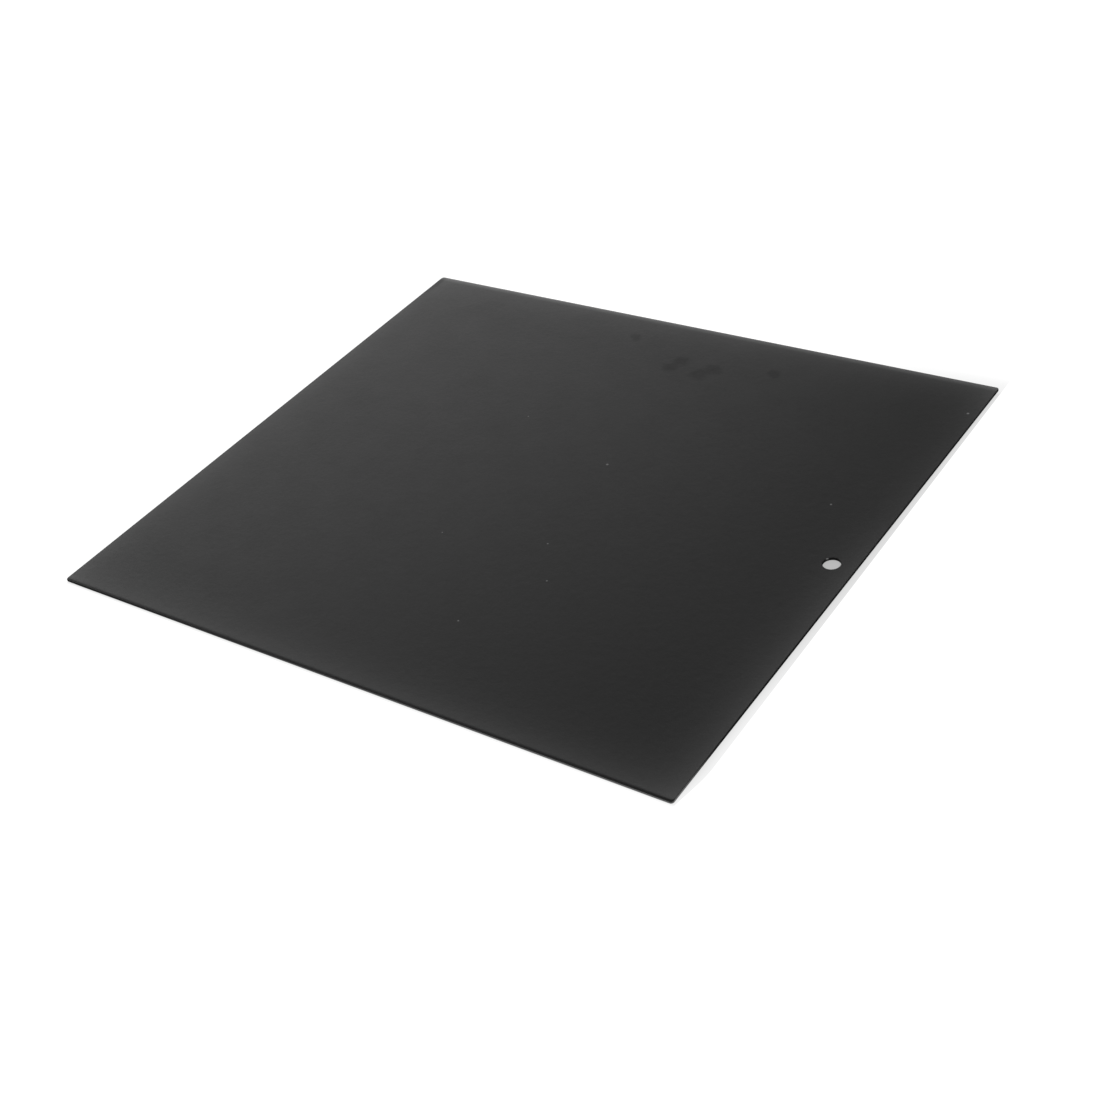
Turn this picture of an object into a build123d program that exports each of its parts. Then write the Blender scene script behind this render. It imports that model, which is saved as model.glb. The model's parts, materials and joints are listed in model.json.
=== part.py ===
from build123d import *
import os

# Kick plate: one flat blank of sheet steel with a black powder coat and a single
# round fixing hole, midway along one of its shorter sides.
#
# Frame: the origin is the centre of the back face. +X runs along the longer side
# towards the fixing hole, +Y along the shorter side, and +Z out of the front face.

# Driving dimensions in millimetres, measured over the coat
PLATE_WIDTH = 360.0       # longer side, along X
PLATE_HEIGHT = 320.0      # shorter side, along Y
PLATE_THICKNESS = 1.5     # steel and coat together
CORNER_RADIUS = 1.5       # the four corners, seen from the front
FRONT_ROUNDING = 0.6      # front rim of the outer edge, drawn down by the shear
BACK_ROUNDING = 0.3       # back rim of the outer edge, deburred and coated
HOLE_DIAMETER = 8.5
HOLE_TO_EDGE = 12.0       # hole centre to the side that it is near
HOLE_ROUNDING = 0.2       # front and back rims of the hole

PARTS_FOLDER = "parts"


def cut_blank():
    """The sheet cut to size, its corners rounded off."""
    outline = RectangleRounded(PLATE_WIDTH, PLATE_HEIGHT, CORNER_RADIUS)
    return extrude(outline, PLATE_THICKNESS)


def soften_outer_edge(plate):
    """Roll the front and back rims, as shearing, deburring and the coat leave them."""
    front_rim = plate.faces().sort_by(Axis.Z)[-1].outer_wire().edges()
    softened = fillet(front_rim, FRONT_ROUNDING)
    back_rim = softened.faces().sort_by(Axis.Z)[0].outer_wire().edges()
    return fillet(back_rim, BACK_ROUNDING)


def punch_fixing_hole(plate):
    """One round hole through the plate, with both of its rims rolled."""
    hole_x = PLATE_WIDTH / 2 - HOLE_TO_EDGE
    drill = Cylinder(HOLE_DIAMETER / 2, 4 * PLATE_THICKNESS)
    punched = plate - Pos(hole_x, 0, PLATE_THICKNESS / 2) * drill
    rims = punched.edges().filter_by(GeomType.CIRCLE).filter_by(is_hole_rim)
    return fillet(rims, HOLE_ROUNDING)


def is_hole_rim(edge):
    """True for the circles where the hole meets the two faces."""
    return abs(edge.radius - HOLE_DIAMETER / 2) < 0.01


def kick_plate():
    return punch_fixing_hole(soften_outer_edge(cut_blank()))


os.makedirs(PARTS_FOLDER, exist_ok=True)
export_step(kick_plate(), os.path.join(PARTS_FOLDER, "kick_plate.step"))
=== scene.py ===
import json
import math

import bmesh
import bpy
from mathutils import Matrix, Vector


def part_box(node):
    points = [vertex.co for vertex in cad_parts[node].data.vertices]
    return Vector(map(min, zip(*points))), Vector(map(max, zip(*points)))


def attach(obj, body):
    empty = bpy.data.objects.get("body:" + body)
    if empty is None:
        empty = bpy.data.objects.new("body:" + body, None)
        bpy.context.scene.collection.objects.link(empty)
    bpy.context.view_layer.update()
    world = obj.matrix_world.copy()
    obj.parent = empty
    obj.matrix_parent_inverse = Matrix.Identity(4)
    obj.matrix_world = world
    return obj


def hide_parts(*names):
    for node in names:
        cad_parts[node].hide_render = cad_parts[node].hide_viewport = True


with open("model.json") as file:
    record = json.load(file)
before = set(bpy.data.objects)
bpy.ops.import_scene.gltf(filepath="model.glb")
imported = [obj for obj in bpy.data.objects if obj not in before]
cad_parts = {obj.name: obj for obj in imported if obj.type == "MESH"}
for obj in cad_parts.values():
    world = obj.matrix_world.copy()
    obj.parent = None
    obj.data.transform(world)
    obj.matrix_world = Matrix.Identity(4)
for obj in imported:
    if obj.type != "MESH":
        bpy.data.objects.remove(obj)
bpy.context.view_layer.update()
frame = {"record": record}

# The kick plate lies flat on a pale table, back face down. Everything is in metres.

MM = 0.001

# What the frame says about the plate
LOW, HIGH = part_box("kick_plate")
HALF_WIDTH = (HIGH.x - LOW.x) / 2
HALF_HEIGHT = (HIGH.y - LOW.y) / 2
THICKNESS = HIGH.z - LOW.z
HOLE = next(m for m in frame["record"]["mounts"] if m["name"] == "fixing_hole")
HOLE_X, HOLE_Y = HOLE["pos_m"][:2]
HOLE_RADIUS = HOLE["dims"]["r_mm"] * MM

# Rounding that the shear and the coat leave: how far each rim runs in over its face, on
# the +X, +Y, -X and -Y sides, and how far it drops down the edge. The hole's rim is even.
CORNER_RADIUS = 1.5 * MM
FRONT_RIM = (0.3 * MM, 2.0 * MM, 0.5 * MM, 2.4 * MM)
FRONT_DROP = 0.4 * MM
BACK_RIM = (0.3 * MM, 0.3 * MM, 0.3 * MM, 0.3 * MM)
BACK_DROP = 0.3 * MM
HOLE_RIM = (0.2 * MM,)
HOLE_DROP = 0.2 * MM
CORNER_STEPS = 16
HOLE_STEPS = 128
RIM_STEPS = 10
SUPPORT = 0.8 * MM    # a strip of small faces inside each rim, for even shading
SHADING_WEIGHT = 100    # how much large faces outweigh small ones in the smooth shading


# Geometry

def corner_arc(centre_x, centre_y, radius, start):
    """Points of one quarter turn, from the angle start, in radians."""
    turns = [start + math.pi / 2 * i / CORNER_STEPS for i in range(CORNER_STEPS + 1)]
    return [(centre_x + radius * math.cos(t), centre_y + radius * math.sin(t)) for t in turns]


def outline(insets):
    """The plate's rounded rectangle, its +X, +Y, -X and -Y sides pulled in by insets."""
    right, far, left, near = insets
    right_x, left_x = HALF_WIDTH - right - CORNER_RADIUS, left + CORNER_RADIUS - HALF_WIDTH
    far_y, near_y = HALF_HEIGHT - far - CORNER_RADIUS, near + CORNER_RADIUS - HALF_HEIGHT
    corners = ((right_x, far_y), (left_x, far_y), (left_x, near_y), (right_x, near_y))
    points = []
    for quarter, (x, y) in enumerate(corners):
        points += corner_arc(x, y, CORNER_RADIUS, quarter * math.pi / 2)
    return points


def circle(insets):
    """The fixing hole's circle, opened out by the one inset."""
    radius = HOLE_RADIUS + insets[0]
    turns = [2 * math.pi * i / HOLE_STEPS for i in range(HOLE_STEPS)]
    return [(HOLE_X + radius * math.cos(t), HOLE_Y + radius * math.sin(t)) for t in turns]


def rim_curve(rim, drop):
    """(insets, depth) steps of a quarter ellipse, from the face to the edge."""
    steps = [([i + SUPPORT for i in rim], 0.0)]
    for step in range(RIM_STEPS + 1):
        turn = math.pi / 2 * step / RIM_STEPS
        steps.append(([i * (1 - math.sin(turn)) for i in rim], drop * (1 - math.cos(turn))))
    return steps


def edge_section(front_rim, front_drop, back_rim, back_drop):
    """(insets, height) steps down an edge, from the front face to the back face."""
    front = [(insets, THICKNESS - depth) for insets, depth in rim_curve(front_rim, front_drop)]
    return front + rim_curve(back_rim, back_drop)[::-1]


def rings(shape, section):
    """The closed loops of points down an edge, for outline or circle."""
    return [[(x, y, LOW.z + z) for x, y in shape(insets)] for insets, z in section]


def add_wall(mesh, loops):
    """Skins a list of equal closed loops with quads, and returns the rows of vertices."""
    rows = [[mesh.verts.new(p) for p in loop] for loop in loops]
    for upper, lower in zip(rows, rows[1:]):
        for i in range(len(upper)):
            j = (i + 1) % len(upper)
            mesh.faces.new((upper[i], lower[i], lower[j], upper[j]))
    return rows


def add_face(mesh, outer, inner):
    """Fills the flat ring between two closed rows of vertices."""
    edges = []
    for row in (outer, inner):
        for i in range(len(row)):
            edges.append(mesh.edges.get((row[i], row[(i + 1) % len(row)])))
    bmesh.ops.triangle_fill(mesh, use_beauty=True, use_dissolve=False, edges=edges)


def make_plate():
    """The closed skin of the plate, with its edges and its bored hole."""
    mesh = bmesh.new()
    edge = edge_section(FRONT_RIM, FRONT_DROP, BACK_RIM, BACK_DROP)
    bore = edge_section(HOLE_RIM, HOLE_DROP, HOLE_RIM, HOLE_DROP)
    edge_rows = add_wall(mesh, rings(outline, edge))
    hole_rows = add_wall(mesh, rings(circle, bore))
    add_face(mesh, edge_rows[0], hole_rows[0])
    add_face(mesh, edge_rows[-1], hole_rows[-1])
    bmesh.ops.recalc_face_normals(mesh, faces=mesh.faces)
    for face in mesh.faces:
        face.smooth = True
    data = bpy.data.meshes.new("plate")
    mesh.to_mesh(data)
    mesh.free()
    plate = bpy.data.objects.new("coated_plate", data)
    bpy.context.scene.collection.objects.link(plate)
    even = plate.modifiers.new("even_shading", "WEIGHTED_NORMAL")
    even.keep_sharp = True
    even.weight = SHADING_WEIGHT
    return plate


# Node helpers

class Graph:
    """A material's node tree. Each input is a number or another node's output."""

    def __init__(self, name):
        self.material = bpy.data.materials.new(name)
        self.material.use_nodes = True
        self.nodes = self.material.node_tree.nodes
        self.links = self.material.node_tree.links
        self.shader = self.nodes["Principled BSDF"]

    def put(self, socket, value):
        """Feeds a socket from another node's output, or sets it to a plain value."""
        if isinstance(value, bpy.types.NodeSocket):
            self.links.new(value, socket)
        else:
            socket.default_value = value

    def place(self):
        """Where a point is on its object: the vector, then its X, Y and Z."""
        where = self.nodes.new("ShaderNodeTexCoord").outputs["Object"]
        split = self.nodes.new("ShaderNodeSeparateXYZ")
        self.links.new(where, split.inputs[0])
        return (where, *split.outputs)

    def maths(self, operation, *values):
        node = self.nodes.new("ShaderNodeMath")
        node.operation = operation
        for socket, value in zip(node.inputs, values):
            self.put(socket, value)
        return node.outputs[0]

    def add(self, first, second):
        return self.maths("ADD", first, second)

    def times(self, first, second):
        return self.maths("MULTIPLY", first, second)

    def ramp(self, value, start, end, low=0.0, high=1.0):
        """A smooth step: low up to start, high from end."""
        node = self.nodes.new("ShaderNodeMapRange")
        node.interpolation_type = "SMOOTHSTEP"
        for name, given in (("Value", value), ("From Min", start), ("From Max", end),
                            ("To Min", low), ("To Max", high)):
            self.put(node.inputs[name], given)
        return node.outputs["Result"]

    def vector(self, operation, first, second):
        """A Vector Math node: a number from DISTANCE, and a vector from the others."""
        node = self.nodes.new("ShaderNodeVectorMath")
        node.operation = operation
        self.put(node.inputs[0], first)
        self.put(node.inputs[1], second)
        return node.outputs["Value" if operation == "DISTANCE" else "Vector"]

    def noise_node(self, where, size, detail):
        """Soft noise from 0 to 1, whose lumps are about size across."""
        node = self.nodes.new("ShaderNodeTexNoise")
        self.links.new(where, node.inputs["Vector"])
        node.inputs["Scale"].default_value = 1 / size
        node.inputs["Detail"].default_value = detail
        return node

    def noise(self, where, size, detail):
        return self.noise_node(where, size, detail).outputs["Fac"]

    def grey(self, value):
        """A colour of equal red, green and blue."""
        node = self.nodes.new("ShaderNodeCombineColor")
        for socket in node.inputs:
            self.links.new(value, socket)
        return node.outputs[0]


# The powder coat

TONE = 0.0078                # how pale the coat is, mid-plate
BUILDUP_AND_SHEEN_TONE = 0.023          # how much paler it is along the edges: partly powder building up there, partly painted light
BORDER_REACH = 10.0 * MM
NEAR_FADE = 0.10 * MM        # the pale border ends this far down the rim on the near side
FAR_FADE = 0.4 * MM          # and this far down it on the far side
FAR_RIM_HIGHLIGHT = (0.070, 0.052)    # a painted highlight makes the far rim paler again, at its -X and +X ends,
FAR_REACH = 5.0 * MM         # over this much of the face
BORDER_LOSS = 0.42                  # share of the pale border taken off on the far half of the +X side,
BORDER_LOSS_START = (-10.0 * MM, 50.0 * MM)    # growing between these on Y
BORDER_LOSS_END = (110.0 * MM, 160.0 * MM)     # and fading out between these
FACET_SHADE_TONE = -0.030           # painted shade, dark along the -X rim,
FACET_SHADE_WIDTH = 5.0 * MM        # in a band this wide
FACET_SHADE_REACH = 30.0 * MM       # and this long, up to the far corner

ROUGHNESS = 0.49
GRAIN_SIZE = 1.0 * MM        # the fine tooth of the powder
GRAIN_DETAIL = 2
GRAIN_HEIGHT = 0.03 * MM
GRAIN_ROUGHNESS = 0.12
PEEL_SIZE = 3.5 * MM         # its slight orange peel
PEEL_DETAIL = 1
PEEL_HEIGHT = 0.06 * MM
CLOUD_SIZE = 20.0 * MM       # slow drift in roughness over the face
CLOUD_DETAIL = 4
CLOUD_ROUGHNESS = 0.09

# Marks on the front: x, y and radius, in millimetres
SPOT_CORE = 1 / 3            # a mark is at full strength over this part of its radius
SMUDGES = ((-27, 140, 4), (-25, 138, 4), (9, 119, 6.5), (12, 126, 6.5),
           (28, 118, 7.5), (33, 124, 7.5), (65, 133, 4), (67, 131, 4))
SMUDGE_TONE = -0.0030
SMUDGE_ROUGHNESS = 0.06
SMUDGE_RAGGED = 4.0 * MM     # size and depth of the rags in a smudge's outline
SMUDGE_DETAIL = 2
SPECKS = ((27, 28, 0.9), (175, 133, 0.9), (147, 40, 0.7), (-38, 50, 0.5),
          (36, -39, 0.6), (52, -63, 0.6), (-19, -52, 0.5), (30, -104, 0.6))
SPECK_TONE = 0.12
HOLE_GLINT = ((165.2, 1.95, 1.3),)    # a painted glint on the hole's wall, on its -X side
HOLE_GLINT_TONE = 0.50


def face_mask(coat, y, z):
    """1 on the flat front and back, 0 on the rims, edges and hole wall."""
    off_middle = coat.maths("ABSOLUTE", coat.add(z, -THICKNESS / 2))
    fade = coat.ramp(y, -HALF_HEIGHT, HALF_HEIGHT, NEAR_FADE, FAR_FADE)
    start = coat.maths("SUBTRACT", THICKNESS / 2, fade)
    return coat.ramp(off_middle, start, THICKNESS / 2)


def border_loss(coat, x, y):
    """How much of the pale border is gone, along the far half of the +X side."""
    along = coat.times(coat.ramp(y, *BORDER_LOSS_START), coat.ramp(y, *BORDER_LOSS_END, 1.0, 0.0))
    return coat.times(coat.ramp(x, 0.0, HALF_WIDTH, 0.0, BORDER_LOSS), along)


def edge_fade(coat, across, half):
    """1 at the two opposite edges that are half away from the middle, fading away inwards."""
    away = coat.maths("SUBTRACT", half, coat.maths("ABSOLUTE", across))
    return coat.maths("EXPONENT", coat.times(away, -1 / BORDER_REACH))


# The pale border is partly powder build-up and partly painted light along the edges.
def buildup_and_sheen(coat, x, y):
    """Added tone along the four edges, fading away inwards, and strongest on the far side."""
    kept_border = coat.maths("SUBTRACT", 1.0, border_loss(coat, x, y))
    sides = coat.times(edge_fade(coat, x, HALF_WIDTH), kept_border)
    edges = coat.add(sides, edge_fade(coat, y, HALF_HEIGHT))
    far_highlight_tone = coat.ramp(x, -HALF_WIDTH, HALF_WIDTH, *FAR_RIM_HIGHLIGHT)
    # far: the painted highlight along the far rim
    far = coat.ramp(y, HALF_HEIGHT - FAR_REACH, HALF_HEIGHT, 0.0, far_highlight_tone)
    return coat.add(coat.times(BUILDUP_AND_SHEEN_TONE, edges), far)


def facet_shade(coat, x, y):
    """1 where the painted shade is darkest, at the far end of the -X rim, and 0 away from there.
    """
    across = coat.ramp(x, FACET_SHADE_WIDTH / 2 - HALF_WIDTH, FACET_SHADE_WIDTH - HALF_WIDTH, 1.0, 0.0)
    return coat.times(across, coat.ramp(y, HALF_HEIGHT - FACET_SHADE_REACH, HALF_HEIGHT))


def spots(coat, where, places):
    """1 in the middle of each place on the front, and 0 outside it."""
    mask = 0.0
    for x, y, radius in places:
        away = coat.vector("DISTANCE", where, (x * MM, y * MM, THICKNESS))
        full, end = radius * MM * SPOT_CORE, radius * MM
        mask = coat.maths("MAXIMUM", mask, coat.ramp(away, full, end, 1.0, 0.0))
    return mask


def smudges(coat, where, z):
    """Ragged soft patches, on the front only."""
    noise = coat.noise_node(where, SMUDGE_RAGGED, SMUDGE_DETAIL)
    swing = coat.vector("SUBTRACT", noise.outputs["Color"], (0.5, 0.5, 0.5))
    wobble = coat.vector("MULTIPLY", swing, (SMUDGE_RAGGED, SMUDGE_RAGGED, 0.0))
    patches = spots(coat, coat.vector("ADD", where, wobble), SMUDGES)
    return coat.times(patches, coat.maths("GREATER_THAN", z, THICKNESS / 2))


def powder_coat():
    """Satin black powder coat, in the plate's own coordinates."""
    coat = Graph("satin_powder_coat")
    where, x, y, z = coat.place()
    grain = coat.noise(where, GRAIN_SIZE, GRAIN_DETAIL)
    peel = coat.noise(where, PEEL_SIZE, PEEL_DETAIL)
    cloud = coat.noise(where, CLOUD_SIZE, CLOUD_DETAIL)
    smudge = smudges(coat, where, z)

    tone = coat.add(TONE, coat.times(buildup_and_sheen(coat, x, y), face_mask(coat, y, z)))
    # The hole glint and the -X rim band here are painted light and shade; smudges and specks are
    # real marks.
    for strength, mask in ((SMUDGE_TONE, smudge),
                           (SPECK_TONE, spots(coat, where, SPECKS)),
                           (HOLE_GLINT_TONE, spots(coat, where, HOLE_GLINT)),
                           (FACET_SHADE_TONE, facet_shade(coat, x, y))):
        tone = coat.add(tone, coat.times(strength, mask))
    coat.put(coat.shader.inputs["Base Color"], coat.grey(tone))

    rough = coat.add(ROUGHNESS, coat.times(GRAIN_ROUGHNESS, coat.add(grain, -0.5)))
    rough = coat.add(rough, coat.times(CLOUD_ROUGHNESS, coat.add(cloud, -0.5)))
    rough = coat.add(rough, coat.times(SMUDGE_ROUGHNESS, smudge))
    coat.put(coat.shader.inputs["Roughness"], rough)

    height = coat.add(coat.times(GRAIN_HEIGHT, grain), coat.times(PEEL_HEIGHT, peel))
    bump = coat.nodes.new("ShaderNodeBump")
    coat.put(bump.inputs["Distance"], 1.0)
    coat.put(bump.inputs["Height"], height)
    coat.links.new(bump.outputs["Normal"], coat.shader.inputs["Normal"])
    return coat.material


# Stage

TABLE_RADIUS = 12.0
TABLE_SEGMENTS = 96
TABLE_GAP = 0.01 * MM
TABLE_TONE = 0.10
TABLE_ROUGHNESS = 0.9
TABLE_GLOW = 1.00            # to the camera
SIDE_GLOW = 1.7              # as it shows in the plate's edges at the near right corner,
SIDE_REACH = 40.0 * MM       # fading away this far along the right side, and all along the near

# The plate's shade on the table shows past its +X side. Its strength is a loss of glow.
SHADE_SHIFT = 3.1 * MM       # how far past the side it falls, at the middle,
SHADE_SLANT = 0.0084         # and further nearer the camera
SHADE_EDGE = 0.2 * MM
SHADE_WIDTH = 4.4 * MM       # its widest, before it narrows to the near corner
TAPER = (-170.0 * MM, -135.0 * MM)             # where on Y it narrows
DEEP_SHADE = 0.60            # strength under the plate
DEEP_END = 8.0 * MM          # how far inside its outer edge that ends
SHADE_CHANGE = (-130.0 * MM, 20.0 * MM)        # it deepens between these two on Y:
INNER_SHADE = (0.28, 0.385)                    # beside the plate
OUTER_SHADE = (0.20, 0.355)                    # and at its outer edge
CONTACT_SHADE = (0.24, 0.15)    # a soft line along the near side, at its -X and +X ends
CONTACT_REACH = 2.2 * MM
FAR_SHADE = 0.19                  # a faint painted shade past the far side, strongest at the +X end
FAR_SHADE_START = 60.0 * MM
FAR_SHADE_REACH = 20.0 * MM
FAR_SHADE_BLEND = 15.0 * MM       # the shade beside the plate turns into the faint far shade over this length

# name, azimuth and elevation in degrees, distance, width, height, radiance
SOFTBOXES = (("back_left_softbox", 159.2, 13.1, 1.533, 3.32, 0.94, 1.64),
             ("back_right_softbox", 65.0, 32.0, 1.6, 1.2, 0.9, 0.25),
             ("front_right_softbox", -45.0, 22.0, 1.6, 2.2, 0.9, 0.4))
OVERHEAD_ANGLE = 120.0       # how wide the overhead light spreads, in degrees
OVERHEAD_STRENGTH = 2.49
WORLD_DIM = 0.04             # what the world sheds on the plate
WORLD_BRIGHT = 1.0           # and how it looks behind it


def shade_depth(table, x, y):
    """The shade's strength by X: deep under the plate, weaker beside it, 0 past its edge."""
    taper = table.ramp(y, *TAPER, SHADE_WIDTH, 0.0)
    slanted = table.add(table.add(x, table.times(SHADE_SLANT, y)), taper)
    off_middle = table.maths("ABSOLUTE", table.add(slanted, -SHADE_SHIFT))
    past = table.add(off_middle, -HALF_WIDTH)
    inner = table.ramp(y, *SHADE_CHANGE, *INNER_SHADE)
    outer = table.ramp(y, *SHADE_CHANGE, *OUTER_SHADE)
    beside = table.ramp(past, -SHADE_WIDTH, 0.0, inner, outer)
    depth = table.ramp(past, -DEEP_END, -SHADE_WIDTH, DEEP_SHADE, beside)
    return table.times(depth, table.ramp(past, -SHADE_EDGE, SHADE_EDGE, 1.0, 0.0))


def near_limit(table, x, y):
    """The most shade there can be: 1 from the near side on, and the contact line before it."""
    contact = table.ramp(x, -HALF_WIDTH, HALF_WIDTH, *CONTACT_SHADE)
    line = table.ramp(y, -HALF_HEIGHT - CONTACT_REACH, -HALF_HEIGHT, 0.0, contact)
    return table.ramp(y, -HALF_HEIGHT, SHADE_EDGE - HALF_HEIGHT, line, 1.0)


def far_limit(table, x, y):
    """The most shade there can be: 1 up to the far side, and the faint painted shade past it."""
    strength = table.ramp(x, FAR_SHADE_START, HALF_WIDTH, 0.0, FAR_SHADE)
    fade = table.ramp(y, HALF_HEIGHT, HALF_HEIGHT + FAR_SHADE_REACH, 1.0, 0.0)
    return table.ramp(y, HALF_HEIGHT - FAR_SHADE_BLEND, HALF_HEIGHT, 1.0, table.times(strength, fade))


def plate_shade(table, x, y):
    """How much of the glow is lost: most of it under the plate, and none in the open."""
    limit = table.maths("MINIMUM", near_limit(table, x, y), far_limit(table, x, y))
    return table.maths("MINIMUM", shade_depth(table, x, y), limit)


def table_top():
    """A white sweep: bright to the camera, and dimmer where it shows in the plate."""
    table = Graph("pale_table")
    _, x, y, _ = table.place()
    lit = table.times(TABLE_GLOW, table.maths("SUBTRACT", 1.0, plate_shade(table, x, y)))
    rightwards = table.ramp(x, -HALF_WIDTH, HALF_WIDTH, 0.0, SIDE_GLOW)
    in_front = table.ramp(y, -HALF_HEIGHT, SIDE_REACH - HALF_HEIGHT, 1.0, 0.0)
    seen = table.nodes.new("ShaderNodeLightPath").outputs["Is Camera Ray"]
    glow = table.ramp(seen, 0.0, 1.0, table.times(rightwards, in_front), lit)
    table.put(table.shader.inputs["Base Color"], (TABLE_TONE, TABLE_TONE, TABLE_TONE, 1))
    table.put(table.shader.inputs["Roughness"], TABLE_ROUGHNESS)
    table.put(table.shader.inputs["Specular IOR Level"], 0.0)
    table.put(table.shader.inputs["Emission Color"], (1, 1, 1, 1))
    table.put(table.shader.inputs["Emission Strength"], glow)
    return table.material


def make_table():
    data = bpy.data.meshes.new("table")
    mesh = bmesh.new()
    bmesh.ops.create_circle(mesh, cap_ends=True, segments=TABLE_SEGMENTS, radius=TABLE_RADIUS)
    mesh.to_mesh(data)
    mesh.free()
    table = bpy.data.objects.new("table", data)
    table.location.z = LOW.z - TABLE_GAP
    bpy.context.scene.collection.objects.link(table)
    data.materials.append(table_top())


def place_facing(thing, azimuth, elevation, distance, target):
    """Puts a lamp or camera that far from target, looking at it. Azimuth is from +X."""
    a, e = math.radians(azimuth), math.radians(elevation)
    out = Vector((math.cos(e) * math.cos(a), math.cos(e) * math.sin(a), math.sin(e)))
    thing.location = target + out * distance
    thing.rotation_euler = (-out).to_track_quat("-Z", "Y").to_euler()


def softbox(name, azimuth, elevation, distance, width, height, radiance):
    """An area light aimed at the plate, out of the camera's sight."""
    lamp = bpy.data.lights.new(name, "AREA")
    lamp.shape = "RECTANGLE"
    lamp.size = width
    lamp.size_y = height
    lamp.energy = radiance * math.pi * width * height
    thing = bpy.data.objects.new(name, lamp)
    thing.visible_camera = False
    bpy.context.scene.collection.objects.link(thing)
    place_facing(thing, azimuth, elevation, distance, Vector((0, 0, 0)))


def overhead_light():
    """Wide soft light from straight above, too dull to show as a reflection."""
    lamp = bpy.data.lights.new("overhead_light", "SUN")
    lamp.angle = math.radians(OVERHEAD_ANGLE)
    lamp.energy = OVERHEAD_STRENGTH
    thing = bpy.data.objects.new("overhead_light", lamp)
    thing.visible_glossy = False
    bpy.context.scene.collection.objects.link(thing)


def studio():
    """A world that lights the plate dimly and is bright behind it."""
    world = bpy.data.worlds.new("studio")
    bpy.context.scene.world = world
    world.use_nodes = True
    nodes, links = world.node_tree.nodes, world.node_tree.links
    around = nodes["Background"]
    around.inputs["Color"].default_value = (1, 1, 1, 1)
    around.inputs["Strength"].default_value = WORLD_DIM
    behind = nodes.new("ShaderNodeBackground")
    behind.inputs["Strength"].default_value = WORLD_BRIGHT
    behind.inputs["Color"].default_value = (1, 1, 1, 1)
    mix = nodes.new("ShaderNodeMixShader")
    links.new(nodes.new("ShaderNodeLightPath").outputs["Is Camera Ray"], mix.inputs[0])
    links.new(around.outputs[0], mix.inputs[1])
    links.new(behind.outputs[0], mix.inputs[2])
    links.new(mix.outputs[0], nodes["World Output"].inputs["Surface"])


def make_lights():
    for box in SOFTBOXES:
        softbox(*box)
    overhead_light()
    studio()


# Camera

SENSOR = 36.0             # millimetres, as is the lens
LENS = 57.92
AIM = Vector((38.55, -41.20, 0.0)) * MM
CAMERA_AZIMUTH = -48.66    # degrees
CAMERA_ELEVATION = 36.62
CAMERA_DISTANCE = 849.7 * MM
CAMERA_ROLL = -11.413


def make_camera():
    data = bpy.data.cameras.new("camera")
    data.sensor_width = SENSOR
    data.lens = LENS
    camera = bpy.data.objects.new("camera", data)
    bpy.context.scene.collection.objects.link(camera)
    place_facing(camera, CAMERA_AZIMUTH, CAMERA_ELEVATION, CAMERA_DISTANCE, AIM)
    turned = camera.rotation_euler.to_matrix() @ Matrix.Rotation(math.radians(CAMERA_ROLL), 3, "Z")
    camera.rotation_euler = turned.to_euler()
    bpy.context.scene.camera = camera


make_camera()
make_lights()
make_table()

plate = make_plate()
plate.data.materials.append(powder_coat())
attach(plate, "root")
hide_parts("kick_plate")

bpy.context.scene.view_settings.view_transform = "Standard"
